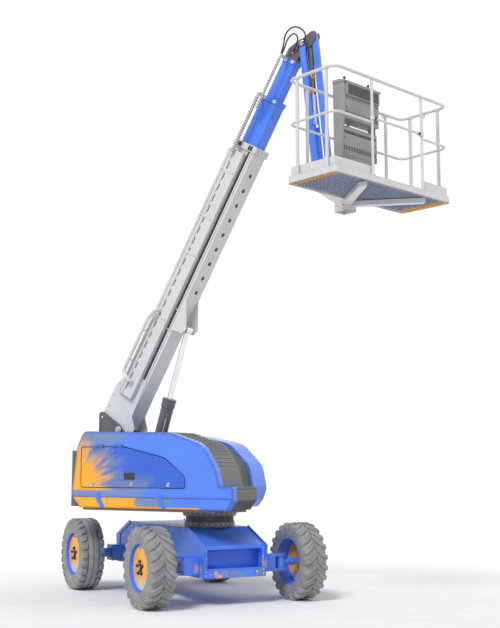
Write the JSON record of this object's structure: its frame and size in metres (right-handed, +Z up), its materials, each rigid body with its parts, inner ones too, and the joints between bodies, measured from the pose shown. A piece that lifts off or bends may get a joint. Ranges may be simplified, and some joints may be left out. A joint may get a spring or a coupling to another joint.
{
  "type": "telescopic boom lift",
  "caption": "Self-propelled telescopic boom lift with a slewing turntable, telescoping boom, parallelogram jib and a railed work platform.",
  "frame": {"origin": "on the ground at the middle of the plan outline, with the boom slewed as stored", "axes": "+Z up; the chassis drives towards -Y, and its right side is -X"},
  "size_m": [3.8045, 5.4532, 7.4526],
  "materials": {
    "blue_paint": "glossy enamel",
    "orange_paint": "enamel",
    "light_grey_paint": "satin enamel",
    "dark_grey_paint": "satin enamel",
    "cover_skin": "gloss moulded",
    "cowl_skin": "matt moulded",
    "tyre_rubber": "matt",
    "cast_weight": "painted casting",
    "engine_mass": "casting",
    "tank_mass": "moulded",
    "platform_metal": "satin",
    "rod_chrome": "polished",
    "console_shell": "matt moulded"
  },
  "bodies": {
    "chassis": {"chassis_frame": "blue_paint", "front_axle_beam": "blue_paint", "rear_axle_beam": "blue_paint", "slew_ring_lower": "dark_grey_paint"},
    "knuckle_right": {"steering_knuckle_right": "blue_paint"},
    "knuckle_left": {"steering_knuckle_left": "blue_paint"},
    "turntable": {"slew_ring_upper": "dark_grey_paint", "turntable_deck": "dark_grey_paint", "cover_right": "cover_skin", "cover_left": "cover_skin", "cowl_louvred": "cowl_skin", "riser": "dark_grey_paint", "counterweight": "cast_weight", "engine_block": "engine_mass", "tank_block": "tank_mass"},
    "side_door_right": {"door_right": "cover_skin"},
    "side_door_left": {"door_left": "cover_skin"},
    "base_section": {"boom_base": "light_grey_paint", "hose_tray": "light_grey_paint"},
    "mid_section": {"boom_mid": "blue_paint", "carrier_mid": "light_grey_paint"},
    "fly_section": {"boom_fly": "blue_paint", "carrier_fly": "light_grey_paint", "boom_nose": "dark_grey_paint"},
    "lift_cylinder": {"lift_barrel": "dark_grey_paint"},
    "lift_cylinder_rod": {"lift_rod": "rod_chrome"},
    "level_knuckle": {"jib_knuckle": "dark_grey_paint"},
    "jib": {"jib_arm": "blue_paint"},
    "jib_level_link": {"jib_link": "blue_paint"},
    "jib_cylinder": {"jib_barrel": "dark_grey_paint"},
    "jib_cylinder_rod": {"jib_rod": "rod_chrome"},
    "mount_body": {"platform_mount": "dark_grey_paint"},
    "platform": {"platform_support": "light_grey_paint", "platform_floor": "platform_metal", "platform_rails": "platform_metal", "toe_boards": "platform_metal", "control_console": "console_shell"},
    "entry": {"entry_rail": "platform_metal"},
    "wheel_front_right": {"tyre_front_right": "tyre_rubber", "rim_front_right": "orange_paint"},
    "wheel_front_left": {"tyre_front_left": "tyre_rubber", "rim_front_left": "orange_paint"},
    "wheel_rear_right": {"tyre_rear_right": "tyre_rubber", "rim_rear_right": "orange_paint"},
    "wheel_rear_left": {"tyre_rear_left": "tyre_rubber", "rim_rear_left": "orange_paint"}
  },
  "joints": [
    {"name": "steer_right", "type": "hinge", "parent": "chassis", "child": "knuckle_right", "pos_m": [-1.14964, -0.26648, 0.5], "axis": [0, 0, 1], "range_deg": [-32, 32]},
    {"name": "steer_left", "type": "hinge", "parent": "chassis", "child": "knuckle_left", "pos_m": [0.43036, -0.26648, 0.5], "axis": [0, 0, 1], "range_deg": [-32, 32]},
    {"name": "roll_front_right", "type": "hinge", "parent": "knuckle_right", "child": "wheel_front_right", "pos_m": [-1.41964, -0.26648, 0.5], "axis": [1, 0, 0], "continuous": true},
    {"name": "roll_front_left", "type": "hinge", "parent": "knuckle_left", "child": "wheel_front_left", "pos_m": [0.70036, -0.26648, 0.5], "axis": [1, 0, 0], "continuous": true},
    {"name": "roll_rear_right", "type": "hinge", "parent": "chassis", "child": "wheel_rear_right", "pos_m": [-1.41964, 2.23352, 0.5], "axis": [1, 0, 0], "continuous": true},
    {"name": "roll_rear_left", "type": "hinge", "parent": "chassis", "child": "wheel_rear_left", "pos_m": [0.70036, 2.23352, 0.5], "axis": [1, 0, 0], "continuous": true},
    {"name": "slew", "type": "hinge", "parent": "chassis", "child": "turntable", "pos_m": [-0.35964, 0.23352, 1.0904], "axis": [0, 0, 1], "continuous": true},
    {"name": "boom_lift", "type": "hinge", "parent": "turntable", "child": "base_section", "pos_m": [-1.06964, 1.46328, 2.24], "axis": [-0.866, -0.5, 0], "range_deg": [-60, 12]},
    {"name": "mid_extend", "type": "slide", "parent": "base_section", "child": "mid_section", "axis": [0.25, -0.433, 0.866], "range_m": [-0.4, 3.3]},
    {"name": "fly_extend", "type": "slide", "parent": "mid_section", "child": "fly_section", "axis": [0.25, -0.433, 0.866], "range_m": [-0.402, 3.302]},
    {"name": "knuckle_level", "type": "hinge", "parent": "fly_section", "child": "level_knuckle", "pos_m": [0.39036, -1.06552, 7.29759], "axis": [-0.866, -0.5, 0], "range_deg": [-12, 60]},
    {"name": "jib_lift", "type": "hinge", "parent": "level_knuckle", "child": "jib_level_link", "pos_m": [0.46536, -1.19542, 7.40759], "axis": [-0.866, -0.5, 0], "range_deg": [-5, 78]},
    {"name": "jib_arm_pivot", "type": "hinge", "parent": "level_knuckle", "child": "jib", "pos_m": [0.39036, -1.06552, 7.29759], "axis": [-0.866, -0.5, 0], "range_deg": [-5, 78]},
    {"name": "mount_level", "type": "hinge", "parent": "jib_level_link", "child": "mount_body", "pos_m": [0.56884, -1.37466, 5.43844], "axis": [-0.866, -0.5, 0], "range_deg": [-78, 5]},
    {"name": "jib_cylinder_pivot", "type": "hinge", "parent": "level_knuckle", "child": "jib_cylinder", "pos_m": [0.43136, -1.13653, 7.30259], "axis": [-0.866, -0.5, 0], "range_deg": [-5.17, 80.67]},
    {"name": "jib_cylinder_stroke", "type": "slide", "parent": "jib_cylinder", "child": "jib_cylinder_rod", "axis": [0.0296, -0.0513, -0.9982], "range_m": [-0.0787, 0.0052]},
    {"name": "lift_cylinder_pivot", "type": "hinge", "parent": "turntable", "child": "lift_cylinder", "pos_m": [-0.88464, 1.14285, 1.45], "axis": [-0.866, -0.5, 0], "range_deg": [-47.37, 9.47]},
    {"name": "lift_cylinder_stroke", "type": "slide", "parent": "lift_cylinder", "child": "lift_cylinder_rod", "axis": [0.1472, -0.255, 0.9557], "range_m": [-0.7738, 0.1549]},
    {"name": "platform_rotate", "type": "hinge", "parent": "mount_body", "child": "platform", "pos_m": [0.65534, -1.52448, 5.045], "axis": [0, 0, 1], "range_deg": [-60, 89]},
    {"name": "entry_lift", "type": "slide", "parent": "platform", "child": "entry", "axis": [0, 0, 1], "range_m": [0, 0.38]},
    {"name": "door_right_open", "type": "hinge", "parent": "turntable", "child": "side_door_right", "pos_m": [-1.83852, 1.18102, 1.988], "axis": [-0.5, 0.866, 0], "range_deg": [0, 85]},
    {"name": "door_left_open", "type": "hinge", "parent": "turntable", "child": "side_door_left", "pos_m": [-0.44076, 1.98802, 1.988], "axis": [0.5, -0.866, 0], "range_deg": [0, 85]}
  ],
  "couplings": [
    {"joint": "steer_left", "follows": "steer_right", "ratio": 1},
    {"joint": "fly_extend", "follows": "mid_extend", "ratio": 1},
    {"joint": "knuckle_level", "follows": "boom_lift", "ratio": -1},
    {"joint": "lift_cylinder_pivot", "follows": "boom_lift", "ratio": 0.7894},
    {"joint": "lift_cylinder_stroke", "follows": "boom_lift", "m_per_rad": 0.73873},
    {"joint": "jib_arm_pivot", "follows": "jib_lift", "ratio": 1},
    {"joint": "mount_level", "follows": "jib_lift", "ratio": -1},
    {"joint": "jib_cylinder_pivot", "follows": "jib_lift", "ratio": 1.0342},
    {"joint": "jib_cylinder_stroke", "follows": "jib_lift", "m_per_rad": -0.05765}
  ]
}
